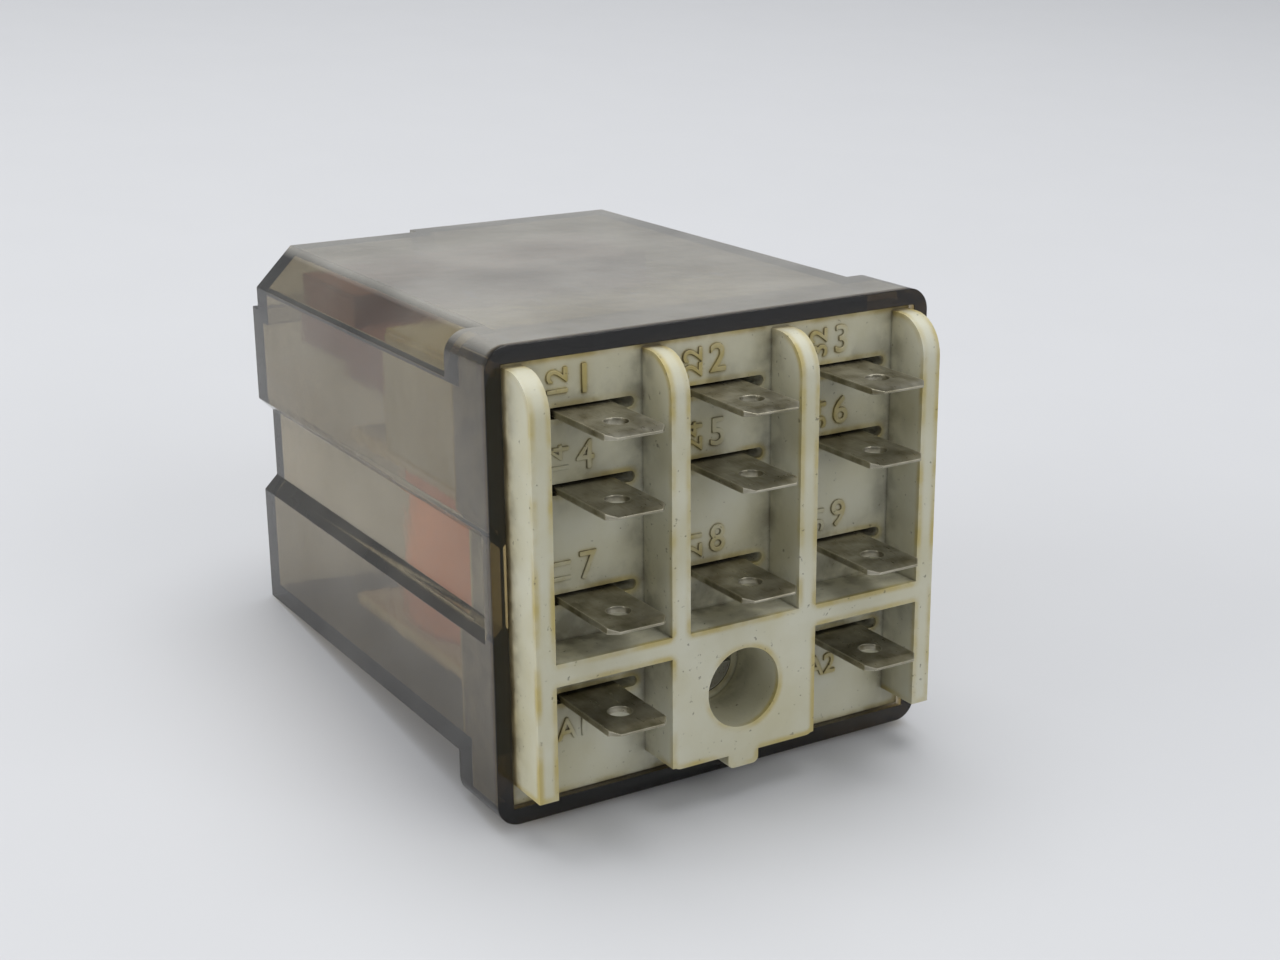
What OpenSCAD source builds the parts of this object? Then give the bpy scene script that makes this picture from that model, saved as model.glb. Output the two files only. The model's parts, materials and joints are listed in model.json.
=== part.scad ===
/* [Cover] */
// Width of the flange round the open end
flange_w = 38.2; // [37:0.1:40]
// Height of the flange
flange_h = 36; // [35:0.1:38]
// Depth of the flange along the body
flange_d = 6.4; // [5.5:0.1:8]
// Corner radius of the flange
flange_r = 1.8; // [0.8:0.1:2.4]
// Width of the body behind the flange
body_w = 35.2; // [34.6:0.1:35.6]
// Height by which the flange hangs below the body
body_drop = 3.9; // [3.4:0.1:4.4]
// Depth of the cover from the flange face to the end wall
cover_d = 45.2; // [45:0.1:50]
// Wall thickness of the cover
wall = 1.3; // [1:0.1:1.6]
// Leg of the bevel along one long edge
edge_bevel = 3.3; // [2:0.1:4]
// Width of the shallow step in the corner of the end wall
step_w = 15.2; // [10:0.1:18]
// Height of that step
step_h = 5.2; // [4:0.1:7]
// Depth of that step
step_d = 1.3; // [0.6:0.1:1.6]

/* [Side grooves] */
// Height of the lower edge of the grooves
groove_z = 14.1; // [13.6:0.1:14.6]
// Height of the grooves at the outer face
groove_h = 8.4; // [7.6:0.1:8.8]
// Depth of the grooves
groove_d = 1.2; // [0.6:0.1:1.3]
// Wall left behind the bottom of the grooves
groove_wall = 0.7; // [0.5:0.1:0.9]
// Distance from the flange face to the start of the left groove
groove_start = 1.3; // [1.2:0.1:2]

/* [Base] */
// Depth of the terminal floor behind the flange face
floor_y = 0.6; // [0.4:0.1:0.9]
// Height of the ribs over the flange face
rib_reach = 3.42; // [3:0.02:4]
// Thickness of the four long ribs
rib_t = 1.57; // [1.2:0.01:1.8]
// Distance between the long ribs
rib_pitch = 11.2; // [11:0.05:11.3]
// Lower end of the long ribs
rib_z = 3.0; // [2.6:0.1:3.4]
// Radius of the bend at the upper end of the long ribs
rib_bend = 3.0; // [2:0.1:3.4]
// Height of the cross rib over the coil terminals
cross_z = 11.75; // [11.5:0.05:12]
// Thickness of the cross rib
cross_t = 1.7; // [1.4:0.05:1.8]
// Lower edge of the centre block
block_z = 2.85; // [2.6:0.05:3]
// Radius of the bore in the centre block
bore_r = 3.15; // [2.8:0.05:3.3]
// Depth of the bore
bore_depth = 5.6; // [5:0.1:5.8]
// Height of the centre of the bore
bore_z = 8.17; // [7.8:0.01:8.4]
// Width of the key under the centre block
key_w = 2.7; // [2:0.1:4]
// Drop of the key below the centre block
key_drop = 1.1; // [0.6:0.1:1.2]

/* [Terminals] */
// Width of a terminal blade
blade_w = 4.75; // [4.6:0.05:4.8]
// Thickness of a terminal blade
blade_t = 0.5; // [0.5:0.1:0.8]
// Reach of the blades beyond the flange face
blade_reach = 7.4; // [7:0.1:8]
// Corner cut at the blade tips
blade_cut = 0.75; // [0.5:0.05:1]
// Diameter of the hole in the blades
blade_hole = 1.8; // [1.4:0.1:2]
// Distance of that hole from the flange face
hole_reach = 4.15; // [3.8:0.05:4.4]
// Height of the break contact row
nc_z = 30.5; // [30.3:0.1:30.7]
// Height of the make contact row
no_z = 24.9; // [24.8:0.1:25]
// Height of the common row
com_z = 16.6; // [16.4:0.1:16.8]
// Height of the coil row
coil_z = 8.9; // [8.7:0.1:9.1]

/* [Magnet] */
// Distance of the coil axis from the flange face
coil_y = 19.6; // [19.4:0.1:19.8]
// Radius of the rounded sides of the winding
winding_r = 9.5; // [8:0.1:9.5]
// Half of the straight stretch across the winding
winding_flat = 4; // [0:0.1:4.2]
// Radius of the iron core
core_r = 3.3; // [3:0.1:3.5]
// Radius of the pole face
pole_r = 4.5; // [4:0.1:4.6]
// Thickness of the yoke
yoke_t = 2.0; // [1.6:0.1:2]
// Width of the yoke
yoke_w = 14; // [12:0.1:14.4]

/* [Moving parts] */
// Travel of the armature in degrees
armature_travel = 4; // [3:0.1:4]
// Thickness of the armature
armature_t = 1.6; // [1.4:0.1:1.8]
// Width of the armature
armature_w = 14; // [12:0.1:15]
// Thickness of the contact springs
spring_t = 0.3; // [0.2:0.05:0.4]
// Width of the contact springs
spring_w = 4.0; // [3:0.1:4.2]
// Radius of the moving contacts
contact_r = 1.5; // [1.2:0.1:1.6]

/* [Hidden] */
$fn = 48;
play = 0.05;
over = 1;
poles = [0 : 2];

// origin: centre of the bounding box, at its lowest face
origin_x = flange_w / 2;
origin_y = (cover_d - blade_reach) / 2;

// cover and base levels
body_z = body_drop;
inner_front = flange_d - wall;
groove_top = groove_z + groove_h;
plate_z = wall + play;
plate_top = flange_h - wall - play;
bulge_step = 0.3;

// base layout
rib_shift = 0.11;
bump_y = groove_start - 0.35;
rib_root = floor_y + 0.3;
centre_x = flange_w / 2;
rib_top = flange_h - wall - 0.35 - rib_bend;
corner_r = 0.7;
cross_top = cross_z + cross_t;
block_x = centre_x + rib_shift - rib_pitch / 2 - rib_t / 2;
block_w = rib_pitch + rib_t;
slot_h = 0.84;
slot_depth = 3;
slot_left = blade_w / 2 + 0.2;
slot_right = blade_w / 2 + 1.9;
key_depth = 2.1;
key_r = 0.5;
// walls behind the floor, between the poles: [left face, right face] of each
post_x = [[13.2, 14], [24.4, 25]];
post_end = 13.8;
post_z = 23.4;
post_top = 31.8;
// guard round the fixed contacts: [left face, right face] of its side walls, and its roof
guard_wall_x = [[2.2, 3.8], [32.72, 33.5]];
guard_wall_end = 20.4;
guard_wall_top = 32.3;
guard_roof_x = [2.6, 32.9];
guard_roof_end = 21;
guard_roof_top = 32.6;
screw_head_r = 2.45;
screw_head_h = 1.2;
screw_r = 1.45;
bore_end = bore_depth - rib_reach;
head_seat = bore_end + screw_head_h;

// magnet layout
coil_x = body_w / 2;
yoke_z = body_z + wall + 0.4;
yoke_top = 25.25;
yoke_front = flange_d + 0.2;
yoke_back = 32.6;
yoke_foot_h = 6;
yoke_foot_t = 1.6;
flange_t = 1.0;
spool_w = 28.6;
spool_y0 = 9.2;
spool_y1 = 30.2;
spool_r = 4.2;
spool_z = yoke_z + yoke_t;
pole_t = 1.2;
pole_z = yoke_top - 1.15;
spool_top = pole_z - pole_t;
core_foot_r = 2.2;
wrap_t = 0.2;
wrap_edge = 0.4;

// hinge and armature
hinge_y = yoke_back - yoke_t / 2;
hinge_z = yoke_top + 0.1;
armature_front = 14.3;
tail_w = 6;
tail_end = 36.2;
armature_top = hinge_z + armature_t;
lug_z = 11.6;
lug_t = 1.4;
seat_r = 0.5;
seat_gap = 0.06;
lug_w = 3;
return_y = 34.6;
return_r = 1.5;
return_wire = 0.3;

// contacts
contact_y = 10.9;
arm_end = 12.9;
arm_w = 4.0;
spring_z = 28.5;
spring_tip = 8.9;
spring_root = 27;
button_h = 0.75;
shank_r = 0.8;
nc_button_z = spring_z + spring_t + button_h + play;
no_drop = (hinge_y - contact_y + contact_r) * sin(armature_travel);
no_button_top = spring_z - button_h - no_drop - 0.08;
no_arm_z = no_button_top - 0.4 - blade_t;
riser_y = 7.9;
tab_end = 8.6;

// carrier
carrier_x = 4.0;
carrier_front = 23.5;
carrier_back = 41.5;
carrier_step = 30.5;
carrier_low_top = 30.6;
carrier_top = 33.3;
carrier_wall = 1.6;
rivet_r = 1.0;
rivet_x = 4.5;
rivet_y = 27;
rivet_head_h = 0.6;

// braids: each leaves a common tab, passes beside a fixed arm and ends over a contact spring
braid_r = 0.55;
braid_side = [1, 1, -1];
braid_route = [
    [1.2, 7.8, 17.5], [2.2, 7.7, 19.2], [3.8, 7.7, 21.6], [4.5, 8.1, 24.2],
    [4.5, 9.6, 26.6], [4.3, 12, 28.6], [3.6, 14.8, 29.8], [2.4, 17.8, 30.0], [1.2, 20.6, 29.4]
];

function pole_x(i) = centre_x + (i - 1) * rib_pitch;
function rib_x(i) = centre_x + rib_shift + (i - 1.5) * rib_pitch - rib_t / 2;

// outline of the body, moved inwards by t, with the bevel and both grooves
function body_outline(t, deep, lip) = let (
    x0 = t, x1 = body_w - t, z0 = body_z + t, z1 = flange_h - t, b = 0.4142 * t
) [
    [x0, z0], [x1, z0],
    [x1, groove_z - lip], [body_w - deep, groove_z + groove_d - lip],
    [body_w - deep, groove_top - groove_d + lip], [x1, groove_top + lip],
    [x1, z1], [x0 + edge_bevel + b - t, z1], [x0, flange_h - edge_bevel - b],
    [x0, groove_top + lip], [deep, groove_top - groove_d + lip],
    [deep, groove_z + groove_d - lip], [x0, groove_z - lip]
];

// extrude a flat outline drawn in x and z from y0 to y1
module along_y(y0, y1) {
    translate([0, y1, 0])
        rotate([90, 0, 0])
            linear_extrude(y1 - y0)
                children();
}

// extrude a flat outline drawn in y and z from x0 to x1
module along_x(x0, x1) {
    translate([x0, 0, 0])
        rotate([90, 0, 90])
            linear_extrude(x1 - x0)
                children();
}

module box(x0, x1, y0, y1, z0, z1) {
    translate([x0, y0, z0])
        cube([x1 - x0, y1 - y0, z1 - z0]);
}

module rounded_rectangle(w, h, r) {
    translate([r, 0])
        square([w - 2 * r, h]);
    translate([0, r])
        square([w, h - 2 * r]);
    for (x = [r, w - r], z = [r, h - r])
        translate([x, z])
            circle(r);
}

module left_groove(extra) {
    polygon([
        [-over, groove_z - over - extra], [groove_d + extra, groove_z + groove_d - extra],
        [groove_d + extra, groove_top - groove_d + extra], [-over, groove_top + over + extra]
    ]);
}

module pin(x, z, y0, y1, r) {
    translate([x, y1, z])
        rotate([90, 0, 0])
            cylinder(h = y1 - y0, r = r);
}

module cover() {
    color([0.45, 0.42, 0.38, 0.45])
        difference() {
            union() {
                along_y(0, flange_d)
                    rounded_rectangle(flange_w, flange_h, flange_r);
                along_y(flange_d - play, cover_d)
                    polygon(body_outline(0, groove_d, 0));
            }
            along_y(groove_start, flange_d + over)
                left_groove(0);
            flange_cavity();
            difference() {
                along_y(inner_front - over, cover_d - wall)
                    polygon(body_outline(wall, groove_d + groove_wall, bulge_step));
                box(0, step_w + wall, cover_d - step_d - wall, cover_d,
                    flange_h - step_h - wall, flange_h);
            }
            box(-over, step_w, cover_d - step_d, cover_d + over, flange_h - step_h, flange_h + over);
        }
}

module flange_cavity() {
    difference() {
        box(wall, flange_w - wall, -over, inner_front, wall, flange_h - wall);
        along_y(bump_y, inner_front + over)
            left_groove(groove_wall);
    }
}

module long_rib_outline() {
    centre_y = rib_bend - rib_reach;
    polygon(concat(
        [[rib_root, rib_z], [-rib_reach, rib_z]],
        [for (a = [0 : 10 : 90]) [centre_y - rib_bend * cos(a), rib_top + rib_bend * sin(a)]],
        [[rib_root, rib_top + rib_bend]]
    ));
}

module base_body() {
    difference() {
        box(plate_z, flange_w - plate_z, floor_y, inner_front - play, plate_z, plate_top);
        along_y(bump_y - play, flange_d)
            left_groove(groove_wall + play);
    }
    along_y(inner_front - 2 * play, flange_d)
        polygon(body_outline(wall + play, groove_d + groove_wall + play, bulge_step + play));
    for (i = [0 : 3])
        along_x(rib_x(i), rib_x(i) + rib_t)
            long_rib_outline();
    box(rib_x(0) + rib_t / 2, rib_x(3) + rib_t / 2, -rib_reach, rib_root, cross_z, cross_top);
    along_y(-rib_reach, rib_root) {
        translate([block_x, block_z])
            rounded_rectangle(block_w, cross_top - block_z, corner_r);
        translate([block_x, bore_z])
            square([block_w, cross_top - bore_z]);
    }
    along_y(-rib_reach, key_depth - rib_reach)
        translate([centre_x - key_w / 2, block_z - key_drop])
            rounded_rectangle(key_w, key_drop + over, key_r);
    for (wall_x = post_x)
        box(wall_x[0], wall_x[1], flange_d - play, post_end, post_z, post_top);
}

module blade_slot(x, z) {
    along_y(floor_y - over, floor_y + slot_depth) {
        translate([x - slot_left, z - slot_h / 2])
            square([slot_left + slot_right - slot_h / 2, slot_h]);
        translate([x + slot_right - slot_h / 2, z])
            circle(slot_h / 2);
    }
    box(x - blade_w / 2 - play, x + blade_w / 2 + play, 0, flange_d + over,
        z - blade_t / 2 - play, z + blade_t / 2 + play);
}

module base() {
    color([0.86, 0.84, 0.74])
        difference() {
            base_body();
            for (i = poles, z = [nc_z, no_z, com_z])
                blade_slot(pole_x(i), z);
            for (i = [0, 2])
                blade_slot(pole_x(i), coil_z);
            pin(centre_x, bore_z, -rib_reach - over, bore_end, bore_r);
            pin(centre_x, bore_z, 0, head_seat, screw_head_r + 0.1);
            pin(centre_x, bore_z, 0, flange_d + over, screw_r + 0.15);
        }
}

module contact_guard() {
    color([0.86, 0.84, 0.74]) {
        for (wall_x = guard_wall_x)
            box(wall_x[0], wall_x[1], flange_d, guard_wall_end, post_z, guard_wall_top);
        box(guard_roof_x[0], guard_roof_x[1], flange_d, guard_roof_end, post_top, guard_roof_top);
    }
}

module blade(x, z, end) {
    w = blade_w / 2;
    translate([x, 0, z - blade_t / 2])
        linear_extrude(blade_t)
            difference() {
                polygon([
                    [-w, end], [-w, blade_cut - blade_reach], [blade_cut * 0.8 - w, -blade_reach],
                    [w - blade_cut * 0.8, -blade_reach], [w, blade_cut - blade_reach], [w, end]
                ]);
                translate([0, -hole_reach])
                    circle(blade_hole / 2);
            }
}

module nc_terminal(i) {
    color([0.72, 0.68, 0.58]) {
        blade(pole_x(i), nc_z, tab_end);
        box(pole_x(i) - arm_w / 2, pole_x(i) + arm_w / 2, tab_end - play, arm_end,
            nc_z - blade_t / 2, nc_z + blade_t / 2);
    }
}

module no_terminal(i) {
    low = no_z - blade_t / 2;
    color([0.72, 0.68, 0.58]) {
        blade(pole_x(i), no_z, riser_y + blade_t);
        along_x(pole_x(i) - arm_w / 2, pole_x(i) + arm_w / 2)
            polygon([
                [riser_y, low], [riser_y + blade_t, low], [riser_y + blade_t, no_arm_z],
                [arm_end, no_arm_z], [arm_end, no_arm_z + blade_t], [riser_y, no_arm_z + blade_t]
            ]);
    }
}

module com_terminal(i) {
    color([0.72, 0.68, 0.58])
        blade(pole_x(i), com_z, tab_end);
}

module coil_terminal(i) {
    color([0.72, 0.68, 0.58])
        blade(pole_x(i), coil_z, tab_end);
}

module nc_contact(i) {
    color([0.88, 0.88, 0.86])
        translate([pole_x(i), contact_y, nc_button_z])
            cylinder(h = nc_z - blade_t / 2 - nc_button_z, r = contact_r + 0.1);
}

module no_contact(i) {
    color([0.88, 0.88, 0.86])
        translate([pole_x(i), contact_y, no_arm_z + blade_t])
            cylinder(h = no_button_top - no_arm_z - blade_t, r = contact_r + 0.1);
}

// a tube along a list of points, each ring square to the way between its neighbours
function unit(v) = v / norm(v);
function ring_way(p, k) = unit(p[min(k + 1, len(p) - 1)] - p[max(k - 1, 0)]);
function curve_point(p, k, t) = let (
    a = p[max(k - 1, 0)], b = p[k], c = p[k + 1], d = p[min(k + 2, len(p) - 1)]
) 0.5 * (2 * b + (c - a) * t + (2 * a - 5 * b + 4 * c - d) * t * t
    + (3 * b - a - 3 * c + d) * t * t * t);
function smooth_route(p, n) = concat(
    [for (k = [0 : len(p) - 2], s = [0 : n - 1]) curve_point(p, k, s / n)], [p[len(p) - 1]]
);

module tube(route, r, sides) {
    rings = len(route);
    points = [for (k = [0 : rings - 1]) let (
        way = ring_way(route, k), side = unit(cross(way, [1, 0.3, 0])), up = cross(side, way)
    ) for (s = [0 : sides - 1]) route[k] + r * (cos(360 * s / sides) * side + sin(360 * s / sides) * up)];
    walls = [for (k = [0 : rings - 2], s = [0 : sides - 1]) let (n = (s + 1) % sides)
        [k * sides + s, k * sides + n, (k + 1) * sides + n, (k + 1) * sides + s]];
    polyhedron(points, concat(
        [[for (s = [sides - 1 : -1 : 0]) s]], walls, [[for (s = [0 : sides - 1]) (rings - 1) * sides + s]]
    ), convexity = 6);
}

module braid(i) {
    route = [for (p = braid_route) [pole_x(i) + braid_side[i] * p[0], p[1], p[2]]];
    color([0.72, 0.45, 0.25])
        tube(smooth_route(route, 3), braid_r, 8);
}

module coil_lead(side) {
    start = [coil_x + side * 9.2, 8.3, coil_z + 0.75];
    way = [side * -5, coil_y - winding_r - wrap_t - 8.65, 0];
    color([0.7, 0.4, 0.2])
        translate(start)
            rotate([90, 0, atan2(way[1], way[0]) + 90])
                cylinder(h = norm(way), r = 0.25);
}

module frame_screw() {
    color([0.7, 0.7, 0.68])
        difference() {
            union() {
                pin(centre_x, bore_z, bore_end, head_seat, screw_head_r);
                pin(centre_x, bore_z, head_seat - play, yoke_front + yoke_foot_t, screw_r);
            }
            box(centre_x - 2 * screw_head_r, centre_x + 2 * screw_head_r,
                bore_end - over, bore_end + screw_head_h / 2, bore_z - 0.3, bore_z + 0.3);
        }
}

module yoke() {
    color([0.62, 0.63, 0.62])
        difference() {
            union() {
                along_x(coil_x - yoke_w / 2, coil_x + yoke_w / 2)
                    polygon([
                        [yoke_front, yoke_z], [yoke_back, yoke_z], [yoke_back, yoke_top],
                        [yoke_back - yoke_t, yoke_top], [yoke_back - yoke_t, yoke_z + yoke_t],
                        [yoke_front + yoke_foot_t, yoke_z + yoke_t],
                        [yoke_front + yoke_foot_t, yoke_z + yoke_foot_h], [yoke_front, yoke_z + yoke_foot_h]
                    ]);
                box(coil_x - lug_w / 2, coil_x + lug_w / 2, yoke_back - play, tail_end, lug_z, lug_z + lug_t);
                translate([coil_x - armature_w / 2, hinge_y, hinge_z])
                    rotate([0, 90, 0])
                        cylinder(h = armature_w, r = seat_r);
            }
            pin(centre_x, bore_z, 0, yoke_front + yoke_foot_t + over / 2, screw_r);
            translate([coil_x, coil_y, 0])
                cylinder(h = spool_z + play, r = core_foot_r);
        }
}

module core() {
    color([0.55, 0.55, 0.56])
        translate([coil_x, coil_y, 0]) {
            translate([0, 0, yoke_z])
                cylinder(h = yoke_t + play, r = core_foot_r);
            translate([0, 0, spool_z])
                cylinder(h = pole_z - spool_z - play, r = core_r);
            translate([0, 0, spool_top])
                cylinder(h = pole_t, r = pole_r);
        }
}

module bobbin() {
    color([0.9, 0.88, 0.8])
        difference() {
            union() {
                for (z = [spool_z, spool_top - flange_t])
                    box(coil_x - spool_w / 2, coil_x + spool_w / 2, spool_y0, spool_y1, z, z + flange_t);
                translate([coil_x, coil_y, spool_z])
                    linear_extrude(spool_top - spool_z)
                        oval(spool_r);
            }
            translate([coil_x, coil_y, spool_z - over])
                cylinder(h = spool_top, r = core_r + play);
        }
}

module oval(r) {
    for (side = [-1, 1])
        translate([side * winding_flat, 0])
            circle(r);
    translate([-winding_flat, -r])
        square([2 * winding_flat, 2 * r]);
}

module ring(z0, z1, r0, r1) {
    translate([coil_x, coil_y, z0])
        linear_extrude(z1 - z0)
            difference() {
                oval(r1);
                oval(r0);
            }
}

module winding() {
    color([0.72, 0.38, 0.2])
        ring(spool_z + flange_t, spool_top - flange_t, spool_r, winding_r);
}

module coil_wrap() {
    color([0.85, 0.5, 0.3])
        ring(spool_z + flange_t + wrap_edge, spool_top - flange_t - wrap_edge, winding_r, winding_r + wrap_t);
}

module return_spring() {
    color([0.75, 0.75, 0.74])
        translate([coil_x, return_y, lug_z + lug_t])
            difference() {
                cylinder(h = hinge_z - lug_z - lug_t - play, r = return_r);
                translate([0, 0, -over])
                    cylinder(h = hinge_z, r = return_r - 2 * return_wire);
            }
}

module armature() {
    color([0.6, 0.61, 0.6])
        difference() {
            union() {
                box(coil_x - armature_w / 2, coil_x + armature_w / 2, armature_front, yoke_back,
                    hinge_z, armature_top);
                box(coil_x - tail_w / 2, coil_x + tail_w / 2, yoke_back - play, tail_end,
                    hinge_z, armature_top);
            }
            translate([coil_x - armature_w / 2 - over, hinge_y, hinge_z])
                rotate([0, 90, 0])
                    cylinder(h = armature_w + 2 * over, r = seat_r + seat_gap);
            for (side = [-1, 1])
                translate([coil_x + side * rivet_x, rivet_y, hinge_z - over])
                    cylinder(h = armature_t + 2 * over, r = rivet_r);
        }
}

module carrier() {
    color([0.42, 0.17, 0.11])
        difference() {
            union() {
                box(carrier_x, body_w - carrier_x, carrier_front, carrier_step + carrier_wall,
                    armature_top, carrier_low_top);
                box(carrier_x, body_w - carrier_x, carrier_step, carrier_back, 28, carrier_top);
            }
            for (i = [0 : 1])
                box(pole_x(i) + spring_w / 2 + 1.2, pole_x(i + 1) - spring_w / 2 - 1.2,
                    carrier_step + carrier_wall, carrier_back - carrier_wall, 27, carrier_top - carrier_wall);
            for (i = poles)
                box(pole_x(i) - spring_w / 2 - play, pole_x(i) + spring_w / 2 + play,
                    carrier_front - over, spring_root + play, spring_z - play, spring_z + spring_t + play);
            for (side = [-1, 1])
                translate([coil_x + side * rivet_x, rivet_y, armature_top - over])
                    cylinder(h = 6, r = rivet_r);
        }
}

module carrier_rivets() {
    color([0.8, 0.8, 0.78])
        for (side = [-1, 1])
            translate([coil_x + side * rivet_x, rivet_y, hinge_z]) {
                cylinder(h = carrier_low_top - hinge_z, r = rivet_r);
                translate([0, 0, carrier_low_top - hinge_z])
                    cylinder(h = rivet_head_h, r = 1.7 * rivet_r);
            }
}

module contact_spring(i) {
    color([0.78, 0.55, 0.35])
        translate([pole_x(i) - spring_w / 2, spring_tip, spring_z])
            difference() {
                cube([spring_w, spring_root - spring_tip, spring_t]);
                translate([spring_w / 2, contact_y - spring_tip, -over])
                    cylinder(h = spring_t + 2 * over, r = shank_r);
            }
}

module moving_contact(i) {
    color([0.88, 0.88, 0.86])
        translate([pole_x(i), contact_y, 0]) {
            translate([0, 0, spring_z - button_h])
                cylinder(h = button_h, r = contact_r);
            translate([0, 0, spring_z - play])
                cylinder(h = spring_t + 2 * play, r = shank_r);
            translate([0, 0, spring_z + spring_t])
                cylinder(h = button_h, r = contact_r);
        }
}

// everything is drawn from the lower left corner of the flange face, then moved to the origin
module placed() {
    translate([-origin_x, -origin_y, 0])
        children();
}

module numbered(name, i) {
    placed()
            children();
}

placed() cover();
placed() base();
placed() contact_guard();
for (i = poles) numbered("nc_terminal", i) nc_terminal(i);
for (i = poles) numbered("no_terminal", i) no_terminal(i);
for (i = poles) numbered("com_terminal", i) com_terminal(i);
for (i = [0, 1]) numbered("coil_terminal", i) coil_terminal(2 * i);
for (i = poles) numbered("nc_contact", i) nc_contact(i);
for (i = poles) numbered("no_contact", i) no_contact(i);
for (i = poles) numbered("braid", i) braid(i);
for (i = [0, 1]) numbered("coil_lead", i) coil_lead(2 * i - 1);
placed() frame_screw();
placed() yoke();
placed() core();
placed() bobbin();
placed() winding();
placed() coil_wrap();
placed() return_spring();
placed() armature();
placed() carrier();
placed() carrier_rivets();
for (i = poles) numbered("contact_spring", i) contact_spring(i);
for (i = poles) numbered("moving_contact", i) moving_contact(i);
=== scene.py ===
import json
import math

import bmesh
import bpy
from mathutils import Matrix, Vector


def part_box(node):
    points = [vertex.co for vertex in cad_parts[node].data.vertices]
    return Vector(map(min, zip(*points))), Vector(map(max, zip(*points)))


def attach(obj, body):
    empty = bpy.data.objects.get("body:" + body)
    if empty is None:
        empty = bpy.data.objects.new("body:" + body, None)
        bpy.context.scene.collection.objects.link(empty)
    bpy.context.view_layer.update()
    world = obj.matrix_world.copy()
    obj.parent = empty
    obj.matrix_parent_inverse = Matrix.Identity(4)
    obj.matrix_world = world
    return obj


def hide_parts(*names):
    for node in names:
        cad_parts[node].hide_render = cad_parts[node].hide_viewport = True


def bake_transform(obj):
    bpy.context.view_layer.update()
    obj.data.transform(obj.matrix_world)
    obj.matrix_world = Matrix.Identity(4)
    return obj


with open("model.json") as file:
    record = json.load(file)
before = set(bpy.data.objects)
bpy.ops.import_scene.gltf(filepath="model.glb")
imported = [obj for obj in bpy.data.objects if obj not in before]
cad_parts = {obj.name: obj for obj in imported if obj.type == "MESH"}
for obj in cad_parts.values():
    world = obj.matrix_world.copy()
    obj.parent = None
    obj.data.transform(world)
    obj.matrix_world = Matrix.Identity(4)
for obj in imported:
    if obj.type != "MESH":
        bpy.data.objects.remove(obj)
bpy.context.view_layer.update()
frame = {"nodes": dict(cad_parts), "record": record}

MM = 0.001
record = frame["record"]
scene = bpy.context.scene
body_of_node = {n: b for b, nodes in record["behaviour"]["bodies"].items() for n in nodes}
slot_of_node = {s["node"]: s["material_slot"] for s in record["subparts"]}

# sizes of the design, in mm; its own origin is at the left end of the flange face, at the underside
FLANGE_W = 38.2
FLANGE_D = 6.4
COVER_D = 45.2
BODY_DROP = 3.9
BLADE_REACH = 7.4
POLE_PITCH = 11.2
FLOOR_Y = 0.6
ORIGIN = Vector((FLANGE_W / 2, (COVER_D - BLADE_REACH) / 2, 0))
POLES = (1, 2, 3)


def pole_x(pole):
    """Middle of a pole's column of blades, in the design's mm."""
    return FLANGE_W / 2 + (pole - 2) * POLE_PITCH


def in_frame(x, y, z):
    """A point of the design, in mm, as a point of the frame."""
    return (Vector((x, y, z)) - ORIGIN) * MM


# ---------------------------------------------------------------- view

def make_camera():
    """Looks from the front left and a little above, close enough for strong perspective."""
    azimuth, elevation, roll = (math.radians(a) for a in (30.783, 17.255, -0.517))
    target = Vector((5.041, 1.103, 17.472)) * MM
    distance = 166.245 * MM
    back = Vector((
        -math.sin(azimuth) * math.cos(elevation),
        -math.cos(azimuth) * math.cos(elevation),
        math.sin(elevation),
    ))
    right = (-back).cross(Vector((0, 0, 1))).normalized()
    up = right.cross(-back)
    turned_right = right * math.cos(roll) + up * math.sin(roll)
    turned_up = up * math.cos(roll) - right * math.sin(roll)
    place = Matrix((turned_right, turned_up, back)).transposed().to_4x4()
    place.translation = target + back * distance
    data = bpy.data.cameras.new("camera")
    data.sensor_width = 36
    data.lens = 55.24
    data.clip_start = 0.01
    camera = bpy.data.objects.new("camera", data)
    camera.matrix_world = place
    scene.collection.objects.link(camera)
    scene.camera = camera


# ---------------------------------------------------------------- materials

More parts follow.
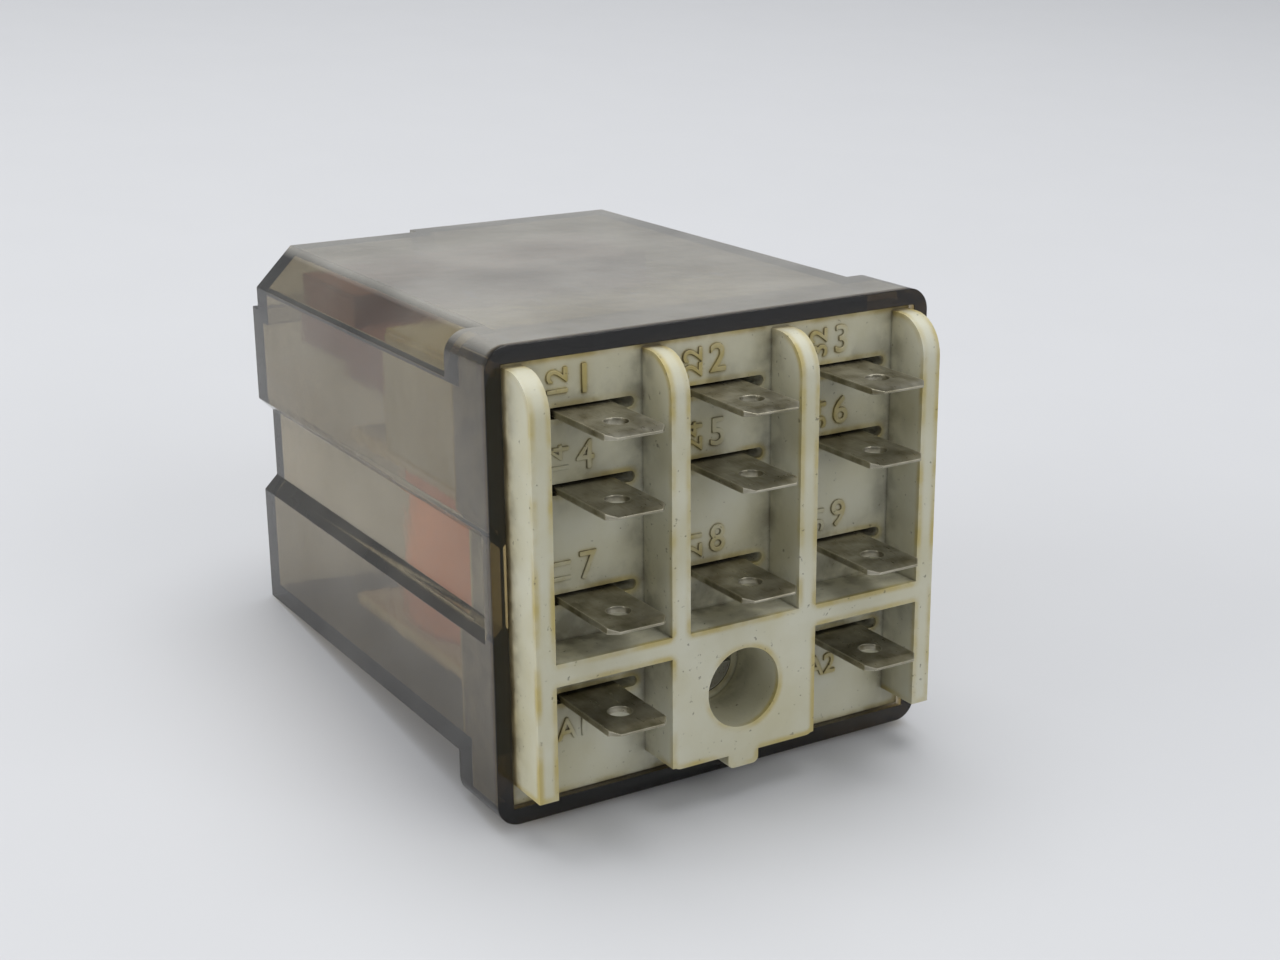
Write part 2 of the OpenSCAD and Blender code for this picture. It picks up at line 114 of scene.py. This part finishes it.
class Nodes:
    """Short names for the few shader nodes that the materials share."""

    def __init__(self, name):
        self.material = bpy.data.materials.new(name)
        self.material.use_nodes = True
        self.tree = self.material.node_tree
        self.tree.nodes.clear()
        self.output = self.add("OutputMaterial")
        self.shader = self.add("BsdfPrincipled")
        self.link(self.shader.outputs[0], self.output.inputs["Surface"])
        self.place = self.add("TexCoord").outputs["Object"]

    def add(self, kind, **settings):
        node = self.tree.nodes.new("ShaderNode" + kind)
        for key, value in settings.items():
            setattr(node, key, value)
        return node

    def link(self, source, target):
        self.tree.links.new(source, target)

    def noise(self, scale, detail, stretch=(1, 1, 1)):
        mapping = self.add("Mapping")
        mapping.inputs["Scale"].default_value = stretch
        self.link(self.place, mapping.inputs["Vector"])
        node = self.add("TexNoise")
        node.inputs["Scale"].default_value = scale
        node.inputs["Detail"].default_value = detail
        self.link(mapping.outputs[0], node.inputs["Vector"])
        return node.outputs["Fac"]

    def ramp(self, value, low, high, low_out=0.0, high_out=1.0):
        """The value led from the range low..high to low_out..high_out, and held at its ends."""
        node = self.add("MapRange", clamp=True)
        limits = {"From Min": low, "From Max": high, "To Min": low_out, "To Max": high_out}
        for key, number in limits.items():
            node.inputs[key].default_value = number
        self.link(value, node.inputs["Value"])
        return node.outputs[0]

    def math(self, operation, a, b):
        node = self.add("Math", operation=operation)
        for socket, value in zip(node.inputs, (a, b)):
            if isinstance(value, (int, float)):
                socket.default_value = value
            else:
                self.link(value, socket)
        return node.outputs[0]

    def multiply(self, a, b):
        return self.math("MULTIPLY", a, b)

    def along(self, axis):
        """Place along one axis of the frame, in metres."""
        node = self.add("SeparateXYZ")
        self.link(self.place, node.inputs[0])
        return node.outputs[axis]

    def mix(self, factor, a, b):
        """Colour a where the factor is 0 and colour b where it is 1."""
        node = self.add("Mix", data_type="RGBA", blend_type="MIX")
        self.link(factor, node.inputs["Factor"])
        for socket, value in ((node.inputs[6], a), (node.inputs[7], b)):
            if isinstance(value, tuple):
                socket.default_value = (*value, 1)
            else:
                self.link(value, socket)
        return node.outputs[2]

    def corners(self, distance, inside):
        """1 on open surfaces, less near inner corners, or near outer edges with inside."""
        node = self.add("AmbientOcclusion", inside=inside, samples=8)
        node.inputs["Distance"].default_value = distance
        return node.outputs["AO"]

    def bump(self, height, strength, distance):
        node = self.add("Bump")
        node.inputs["Strength"].default_value = strength
        node.inputs["Distance"].default_value = distance
        self.link(height, node.inputs["Height"])
        self.link(node.outputs[0], self.shader.inputs["Normal"])

    def set(self, **values):
        """Sets or links inputs of the surface shader, with _ for a space in their names."""
        for key, value in values.items():
            socket = self.shader.inputs[key.replace("_", " ")]
            if isinstance(value, tuple) and len(value) == 3:
                socket.default_value = (*value, 1)
            elif isinstance(value, (int, float)):
                socket.default_value = value
            else:
                self.link(value, socket)


def shade(colour, factors):
    """The colour times the factors, at most 1."""
    return tuple(min(1, c * k) for c, k in zip(colour, factors))


def smoked_cover():
    """Smoked plastic, slightly clouded, with more dust on its upper face and none on the face of its rim."""
    rim_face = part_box("cover")[0].y
    upper_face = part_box("cover")[1].z
    n = Nodes("smoked_cover")
    haze = n.noise(260, 5, (1, 0.35, 1))
    scuffs = n.ramp(n.noise(2200, 3, (1, 0.12, 0.4)), 0.62, 0.78)
    behind_rim = n.ramp(n.along("Y"), rim_face + 0.2 * MM, rim_face + 0.7 * MM)
    at_top = n.ramp(n.along("Z"), upper_face - 0.8 * MM, upper_face - 0.1 * MM)
    side_cloud = n.ramp(n.noise(90, 3), 0.35, 0.65, 0.01, 0.05)
    dust = n.ramp(n.noise(110, 4), 0.35, 0.65, 0.20, 0.29)
    cloud = n.math("ADD", side_cloud, n.multiply(at_top, dust))
    amber = (0.50, 0.34, 0.11)
    n.set(
        Base_Color=n.mix(behind_rim, amber, n.mix(scuffs, (0.90, 0.87, 0.78), (0.95, 0.94, 0.9))),
        Roughness=n.ramp(haze, 0.35, 0.7, 0.07, 0.15),
        IOR=1.49,
        Transmission_Weight=n.math("SUBTRACT", 1.0, n.multiply(cloud, behind_rim)),
    )
    n.bump(n.noise(420, 3), 0.12, 0.0002)
    absorb = n.add("VolumeAbsorption")
    absorb.inputs["Color"].default_value = (0.58, 0.53, 0.40, 1)
    absorb.inputs["Density"].default_value = 1050
    n.link(absorb.outputs[0], n.output.inputs["Volume"])
    clear = n.add("BsdfTransparent")
    clear.inputs["Color"].default_value = (0.98, 0.97, 0.94, 1)
    either = n.add("MixShader")
    n.link(n.add("LightPath").outputs["Is Shadow Ray"], either.inputs[0])
    n.link(n.shader.outputs[0], either.inputs[1])
    n.link(clear.outputs[0], either.inputs[2])
    n.link(either.outputs[0], n.output.inputs["Surface"])
    return n.material


def aged_plastic(name, colour, aged, dirt_and_shade, roughness, speck=0.55):
    """Moulded plastic, yellowed along its edges. Outside the cover its inner corners are darkened with
    painted shade that noise breaks into patchy grime, and its tight creases with a darker painted shade.
    """
    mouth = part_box("cover")[0].y + FLANGE_D * MM
    n = Nodes(name)
    patches = n.ramp(n.noise(170, 4), 0.35, 0.68)
    body = n.mix(patches, colour, shade(colour, (0.88, 0.85, 0.74)))
    edges = n.ramp(n.corners(0.6 * MM, True), 0.98, 0.74)
    edges = n.multiply(edges, n.ramp(n.noise(260, 5), 0.34, 0.6))
    body = n.mix(n.multiply(edges, 0.8), body, aged)
    outside = n.ramp(n.along("Y"), mouth - 0.5 * MM, mouth, 1.0, 0.0)
    # Painted shade in the inner corners outside the cover, mixed with patchy grime by the noise below.
    corner_shade_and_grime = n.multiply(n.ramp(n.corners(3.5 * MM, False), 0.88, 0.3), outside)
    corner_shade_and_grime = n.multiply(corner_shade_and_grime, n.ramp(n.noise(520, 7), 0.4, 0.6))
    body = n.mix(n.multiply(corner_shade_and_grime, 0.8), body, dirt_and_shade)
    # Painted shade: a darker line in the tight creases outside the cover.
    crevice_shade = n.multiply(n.ramp(n.corners(0.5 * MM, False), 0.7, 0.35), outside)
    body = n.mix(n.multiply(crevice_shade, 0.75), body, shade(dirt_and_shade, (0.7, 0.7, 0.7)))
    specks = n.ramp(n.noise(2300, 2), 0.69, 0.75)
    body = n.mix(n.multiply(specks, speck), body, shade(dirt_and_shade, (0.3, 0.3, 0.3)))
    sheen = n.ramp(n.noise(600, 3), 0.3, 0.7, roughness - 0.06, roughness + 0.08)
    n.set(Base_Color=body, Roughness=sheen)
    n.shader.inputs["Subsurface Weight"].default_value = 0.12
    n.shader.inputs["Subsurface Radius"].default_value = (1.0, 0.85, 0.6)
    n.shader.inputs["Subsurface Scale"].default_value = 0.6 * MM
    n.bump(n.noise(3800, 3), 0.18, 0.00006)
    return n.material


def metal(name, colour, tarnish, roughness, metallic=1.0, amount=0.6, stretch=(1, 1, 1), scale=700):
    """Metal with dull patches, fine rolling marks and brighter worn edges."""
    n = Nodes(name)
    dull = n.multiply(n.ramp(n.noise(scale, 5), 0.34, 0.68), amount)
    body = n.mix(dull, colour, tarnish)
    edges = n.ramp(n.corners(0.12 * MM, True), 0.95, 0.7)
    body = n.mix(n.multiply(edges, 0.5), body, shade(colour, (1.6, 1.6, 1.6)))
    marks = n.noise(5200, 2, stretch)
    sheen = n.ramp(marks, 0.3, 0.7, roughness - 0.07, roughness + 0.1)
    n.set(Base_Color=body, Metallic=metallic, Roughness=sheen)
    n.bump(marks, 0.1, 0.00003)
    return n.material


def floor_material():
    n = Nodes("studio_floor")
    n.set(Base_Color=n.mix(n.noise(60, 2), (0.555, 0.56, 0.575), (0.57, 0.575, 0.59)), Roughness=0.75)
    return n.material


materials = {
    "smoked_cover": smoked_cover(),
    "cream_base": aged_plastic(
        "cream_base", (0.55, 0.54, 0.43), (0.40, 0.31, 0.07), (0.10, 0.085, 0.055), 0.45,
    ),
    "bobbin_plastic": aged_plastic(
        "bobbin_plastic", (0.75, 0.72, 0.62), (0.6, 0.5, 0.3), (0.3, 0.26, 0.2), 0.45, 0.1,
    ),
    "coil_tape": aged_plastic(
        "coil_tape", (0.82, 0.33, 0.15), (0.7, 0.27, 0.12), (0.5, 0.16, 0.08), 0.35, 0.05,
    ),
    "brown_plastic": aged_plastic(
        "brown_plastic", (0.27, 0.11, 0.07), (0.18, 0.07, 0.04), (0.1, 0.04, 0.02), 0.4, 0.1,
    ),
    "tinned_brass": metal(
        "tinned_brass", (0.36, 0.34, 0.27), (0.13, 0.115, 0.065), 0.34, 0.9, 0.95, (1, 0.15, 1), 520,
    ),
    "spring_bronze": metal(
        "spring_bronze", (0.72, 0.48, 0.3), (0.5, 0.3, 0.16), 0.3, 1.0, 0.5, (1, 0.1, 1),
    ),
    "enamelled_wire": metal("enamelled_wire", (0.62, 0.2, 0.08), (0.4, 0.1, 0.04), 0.25, 0.9),
    "contact_silver": metal("contact_silver", (0.85, 0.85, 0.83), (0.55, 0.53, 0.5), 0.28),
    "copper_braid": metal("copper_braid", (0.78, 0.36, 0.2), (0.4, 0.17, 0.1), 0.38),
    "plated_steel": metal("plated_steel", (0.66, 0.66, 0.63), (0.4, 0.38, 0.33), 0.32),
    "magnet_steel": metal("magnet_steel", (0.5, 0.5, 0.5), (0.3, 0.3, 0.29), 0.42),
    "core_iron": metal("core_iron", (0.42, 0.42, 0.43), (0.25, 0.24, 0.24), 0.4),
    "spring_steel": metal("spring_steel", (0.7, 0.7, 0.7), (0.5, 0.5, 0.5), 0.25),
}


# ---------------------------------------------------------------- pieces

def place_piece(obj, node, stands_for_node=True, bend=None):
    """Gives a new piece the material of its node's slot and, without a bend, its node's body.

    With a bend, a pair of points, its place is baked into its mesh and it joins no body; the points
    themselves are not used.
    """
    scene.collection.objects.link(obj)
    obj.data.materials.clear()
    obj.data.materials.append(materials[slot_of_node[node]])
    if bend:
        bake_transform(obj)
    else:
        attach(obj, body_of_node[node])
    if stands_for_node:
        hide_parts(node)


def round_edges(obj, width):
    """Rounds every edge that turns by more than 28 degrees; the width is in mm."""
    bevel = obj.modifiers.new("edges", "BEVEL")
    bevel.width = width * MM
    bevel.segments = 2
    bevel.limit_method = "ANGLE"
    bevel.angle_limit = math.radians(28)
    bevel.harden_normals = True
    for face in obj.data.polygons:
        face.use_smooth = True
    normals = obj.modifiers.new("normals", "WEIGHTED_NORMAL")
    normals.keep_sharp = True


def clean_copy(node):
    """The node's shape as a new mesh with its flat faces whole again."""
    mesh = frame["nodes"][node].data.copy()
    mesh.name = node + "_shape"
    work = bmesh.new()
    work.from_mesh(mesh)
    bmesh.ops.remove_doubles(work, verts=work.verts, dist=0.002 * MM)
    bmesh.ops.dissolve_limit(work, angle_limit=math.radians(1), verts=work.verts, edges=work.edges)
    work.to_mesh(mesh)
    work.free()
    return bpy.data.objects.new(node + "_piece", mesh)


def rounded_node(node, width):
    obj = clean_copy(node)
    place_piece(obj, node)
    round_edges(obj, width)


def make_blade(node):
    """A terminal whose tip is pinched thinner and whose edges are sheared round."""
    pinch = 0.95 * MM
    half_thickness = 0.25 * MM
    obj = clean_copy(node)
    low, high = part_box(node)
    middle = low.z + half_thickness if "no_" in node else (low.z + high.z) / 2
    work = bmesh.new()
    work.from_mesh(obj.data)
    everything = work.verts[:] + work.edges[:] + work.faces[:]
    bmesh.ops.bisect_plane(work, geom=everything, plane_co=(0, low.y + pinch, 0), plane_no=(0, 1, 0))
    for vertex in work.verts:
        share = (vertex.co.y - low.y) / pinch
        if share < 0.999:
            vertex.co.z = middle + (vertex.co.z - middle) * (0.35 + 0.65 * max(0, share))
    work.to_mesh(obj.data)
    work.free()
    place_piece(obj, node)
    round_edges(obj, 0.06)


def smooth_path(points, steps):
    """A Catmull-Rom curve through the points."""
    out = []
    last = len(points) - 1
    for k in range(last):
        a, b, c, d = (points[min(max(k + s, 0), last)] for s in (-1, 0, 1, 2))
        for s in range(steps):
            t = s / steps
            out.append(0.5 * (2 * b + (c - a) * t + (2 * a - 5 * b + 4 * c - d) * t * t
                              + (3 * b - a - 3 * c + d) * t ** 3))
    out.append(points[last])
    return out


def tube_mesh(name, paths, radius, sides):
    """One mesh of closed round tubes along the paths."""
    work = bmesh.new()
    for path in paths:
        rings = []
        side = None
        for k, point in enumerate(path):
            way = (path[min(k + 1, len(path) - 1)] - path[max(k - 1, 0)]).normalized()
            start = side or Vector((1, 0.3, 0.1))
            side = (start - way * start.dot(way)).normalized()
            up = way.cross(side)
            rings.append([
                work.verts.new(point + radius * (side * math.cos(a) + up * math.sin(a)))
                for a in (2 * math.pi * s / sides for s in range(sides))
            ])
        for one, two in zip(rings, rings[1:]):
            for s in range(sides):
                work.faces.new((one[s], one[(s + 1) % sides], two[(s + 1) % sides], two[s]))
        work.faces.new(rings[0][::-1])
        work.faces.new(rings[-1])
    for face in work.faces:
        face.smooth = True
    mesh = bpy.data.meshes.new(name)
    work.to_mesh(mesh)
    work.free()
    return bpy.data.objects.new(name, mesh)


# middle of a braid in the design's mm, with x counted from the middle of its pole
BRAID_ROUTE = [
    (1.2, 7.8, 17.5), (2.2, 7.7, 19.2), (3.8, 7.7, 21.6), (4.5, 8.1, 24.2),
    (4.5, 9.6, 26.6), (4.3, 12, 28.6), (3.6, 14.8, 29.8), (2.4, 17.8, 30.0), (1.2, 20.6, 29.4),
]


def make_braid(pole):
    """Ten strands that wind round each other, five each way."""
    side = -1 if pole == 3 else 1
    route = [in_frame(pole_x(pole) + side * x, y, z) for x, y, z in BRAID_ROUTE]
    line = smooth_path(route, 9)
    twist = 0.34
    paths = []
    for direction in (1, -1):
        for start in range(5):
            path = []
            for k, point in enumerate(line):
                way = (line[min(k + 1, len(line) - 1)] - line[max(k - 1, 0)]).normalized()
                across = way.cross(Vector((1, 0.3, 0))).normalized()
                up = way.cross(across)
                angle = direction * k * twist + 2 * math.pi * (start + 0.25 * direction) / 5
                reach = (0.36 + 0.05 * math.sin(k * 1.7 + start)) * MM
                path.append(point + reach * (across * math.cos(angle) + up * math.sin(angle)))
            paths.append(path)
    strands = tube_mesh("braid_%d_strands" % pole, paths, 0.14 * MM, 6)
    place_piece(strands, "braid_%d" % pole, bend=(line[9], line[-4]))


def lathe(name, node, profile, flat):
    """A profile of (radius, height) led round the node's middle.

    On each side it runs straight along X over twice the flat.
    """
    low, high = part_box(node)
    middle = (low + high) / 2
    steps = 96
    work = bmesh.new()
    rings = []
    for s in range(steps):
        angle = 2 * math.pi * (s + 0.5) / steps
        shift = flat if math.cos(angle) > 0 else -flat
        rings.append([
            work.verts.new((middle.x + shift + r * math.cos(angle), middle.y + r * math.sin(angle), z))
            for r, z in profile
        ])
    count = len(profile)
    for one, two in zip(rings, rings[1:] + rings[:1]):
        for k in range(count):
            work.faces.new((one[k], two[k], two[(k + 1) % count], one[(k + 1) % count]))
    for face in work.faces:
        face.smooth = True
    bmesh.ops.recalc_face_normals(work, faces=work.faces)
    mesh = bpy.data.meshes.new(name)
    work.to_mesh(mesh)
    work.free()
    place_piece(bpy.data.objects.new(name, mesh), node)


def make_winding():
    """Sixty turns that stand out by a little from the body of the winding."""
    low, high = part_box("winding")
    outer = (high.y - low.y) / 2
    flat = (high.x - low.x) / 2 - outer
    inner = 4.25 * MM
    crest = 0.1 * MM
    turns = 60
    pitch = (high.z - low.z) / turns
    profile = [(inner, low.z), (outer - crest, low.z)]
    for k in range(turns):
        for share, lift in ((0.15, 0.6), (0.5, 1.0), (0.85, 0.6)):
            profile.append((outer - crest + crest * lift, low.z + (k + share) * pitch))
        profile.append((outer - crest, low.z + (k + 1) * pitch))
    profile.append((inner, high.z))
    lathe("winding_turns", "winding", profile, flat)


def make_return_spring():
    """An upright coil whose wire stays just inside the node's box."""
    low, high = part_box("return_spring")
    middle = (low + high) / 2
    inset = 0.2 * MM
    reach = (high.x - low.x) / 2 - inset
    turns, steps = 26, 20
    path = []
    for k in range(turns * steps + 1):
        angle = 2 * math.pi * k / steps
        height = low.z + inset + (high.z - low.z - 2 * inset) * k / (turns * steps)
        across, along = reach * math.cos(angle), reach * math.sin(angle)
        path.append(Vector((middle.x + across, middle.y + along, height)))
    coil = tube_mesh("return_spring_coil", [path], 0.19 * MM, 8)
    ends = ((middle.x, middle.y, low.z), (middle.x, middle.y, high.z))
    place_piece(coil, "return_spring", bend=ends)


def make_number(text, x, z, turned, size):
    """A raised number on the terminal floor, in design coordinates in mm."""
    curve = bpy.data.curves.new("number", "FONT")
    curve.body = text
    curve.size = size * MM
    curve.align_x = "CENTER"
    curve.align_y = "CENTER"
    curve.extrude = 0.09 * MM
    curve.bevel_depth = 0.05 * MM
    curve.bevel_resolution = 1
    curve.offset = -0.01 * MM
    curve.resolution_u = 3
    holder = bpy.data.objects.new("number_source", curve)
    scene.collection.objects.link(holder)
    graph = bpy.context.evaluated_depsgraph_get()
    mesh = bpy.data.meshes.new_from_object(holder.evaluated_get(graph))
    bpy.data.objects.remove(holder)
    turn = Matrix.Rotation(math.radians(90), 4, "X")
    if turned:
        turn = Matrix.Rotation(math.radians(-90), 4, "Y") @ turn
    mesh.transform(Matrix.Translation(in_frame(x, FLOOR_Y, z)) @ turn)
    name = "numeral_%s_%s" % (text, "side" if turned else "top")
    obj = bpy.data.objects.new(name, mesh)
    place_piece(obj, "base", stands_for_node=False)


def make_numbers():
    """Two numbers over each contact blade, one of them on its side, and one under each coil blade."""
    rise = 2.15
    rows = ((30.5, 2, 0), (24.9, 4, 3), (16.6, 1, 6))
    for pole in POLES:
        for z, digit, first in rows:
            make_number("%d%d" % (pole, digit), pole_x(pole) - 1.95, z + rise, True, 2.3)
            make_number(str(first + pole), pole_x(pole) + 0.15, z + rise, False, 3.0)
    make_number("A1", 6.7, 6.3, False, 2.4)
    make_number("A2", 29.1, 6.3, False, 2.4)


# ---------------------------------------------------------------- stage

def make_stage():
    """A pale floor that touches the two edges the relay lies on, and sweeps up far behind it."""
    slope = BODY_DROP / (COVER_D - FLANGE_D)
    near, far, radius, wall, width = 900, 900, 500, 900, 2400
    steps = 12
    profile = [(-near, 0), (-200, 0), (0, 0), (far, 0)]
    for k in range(1, steps + 1):
        angle = math.radians(90) * k / steps
        profile.append((far + radius * math.sin(angle), radius * (1 - math.cos(angle))))
    profile.append((far + radius, radius + wall))
    mesh = bpy.data.meshes.new("floor")
    turn = Matrix.Rotation(math.atan(slope), 4, "X")
    edge = Vector((0, FLANGE_D - ORIGIN.y, 0))
    view_turn = Matrix.Rotation(math.radians(30.8), 4, "Z")     # the sweep faces the camera
    verts = []
    for along, up in profile:
        for side in (-width / 2, width / 2):
            flat = view_turn.inverted() @ Vector((side, along, up))
            verts.append((turn @ flat + edge) * MM)
    faces = [(2 * k, 2 * k + 1, 2 * k + 3, 2 * k + 2) for k in range(len(profile) - 1)]
    mesh.from_pydata(verts, [], faces)
    for face in mesh.polygons:
        face.use_smooth = True
    obj = bpy.data.objects.new("floor", mesh)
    scene.collection.objects.link(obj)
    mesh.materials.append(floor_material())


def area_light(name, place, size, power):
    """A soft light aimed at the relay, which isn't seen itself, not even through the cover."""
    data = bpy.data.lights.new(name, "AREA")
    data.shape = "RECTANGLE"
    data.size, data.size_y = size
    data.energy = power
    obj = bpy.data.objects.new(name, data)
    obj.location = place
    aim = Vector((0, 0, 15 * MM)) - Vector(place)
    obj.rotation_euler = aim.to_track_quat("-Z", "Y").to_euler()
    obj.visible_camera = False
    obj.visible_transmission = False
    scene.collection.objects.link(obj)


def make_lights():
    world = bpy.data.worlds.new("studio")
    world.use_nodes = True
    sky = world.node_tree.nodes["Background"]
    sky.inputs["Color"].default_value = (0.93, 0.96, 1.0, 1)
    sky.inputs["Strength"].default_value = 0.46
    scene.world = world
    area_light("overhead", (0.08, 0.05, 0.75), (0.7, 0.5), 4.5)
    area_light("front_right", (0.26, -0.60, 0.38), (0.5, 0.5), 1.35)
    area_light("left_side", (-0.55, 0.14, 0.22), (0.5, 0.35), 1.75)


# ---------------------------------------------------------------- build

make_camera()
rounded_node("cover", 0.12)
rounded_node("base", 0.14)
for pole in POLES:
    for row in ("nc", "no", "com"):
        make_blade("%s_terminal_%d" % (row, pole))
    make_braid(pole)
for side in (1, 2):
    make_blade("coil_terminal_%d" % side)
    rounded_node("coil_lead_%d" % side, 0.05)
make_winding()
make_return_spring()
make_numbers()
rounding = {
    "yoke": 0.2, "core": 0.12, "bobbin": 0.12, "coil_wrap": 0.04, "armature": 0.15, "carrier": 0.25,
    "carrier_rivets": 0.15, "frame_screw": 0.15, "contact_guard": 0.2,
}
for kind in ("nc_contact", "no_contact", "moving_contact", "contact_spring"):
    for pole in POLES:
        rounding["%s_%d" % (kind, pole)] = 0.05 if kind == "contact_spring" else 0.12
for node, width in rounding.items():
    rounded_node(node, width)
make_stage()
make_lights()
scene.view_settings.view_transform = "Standard"
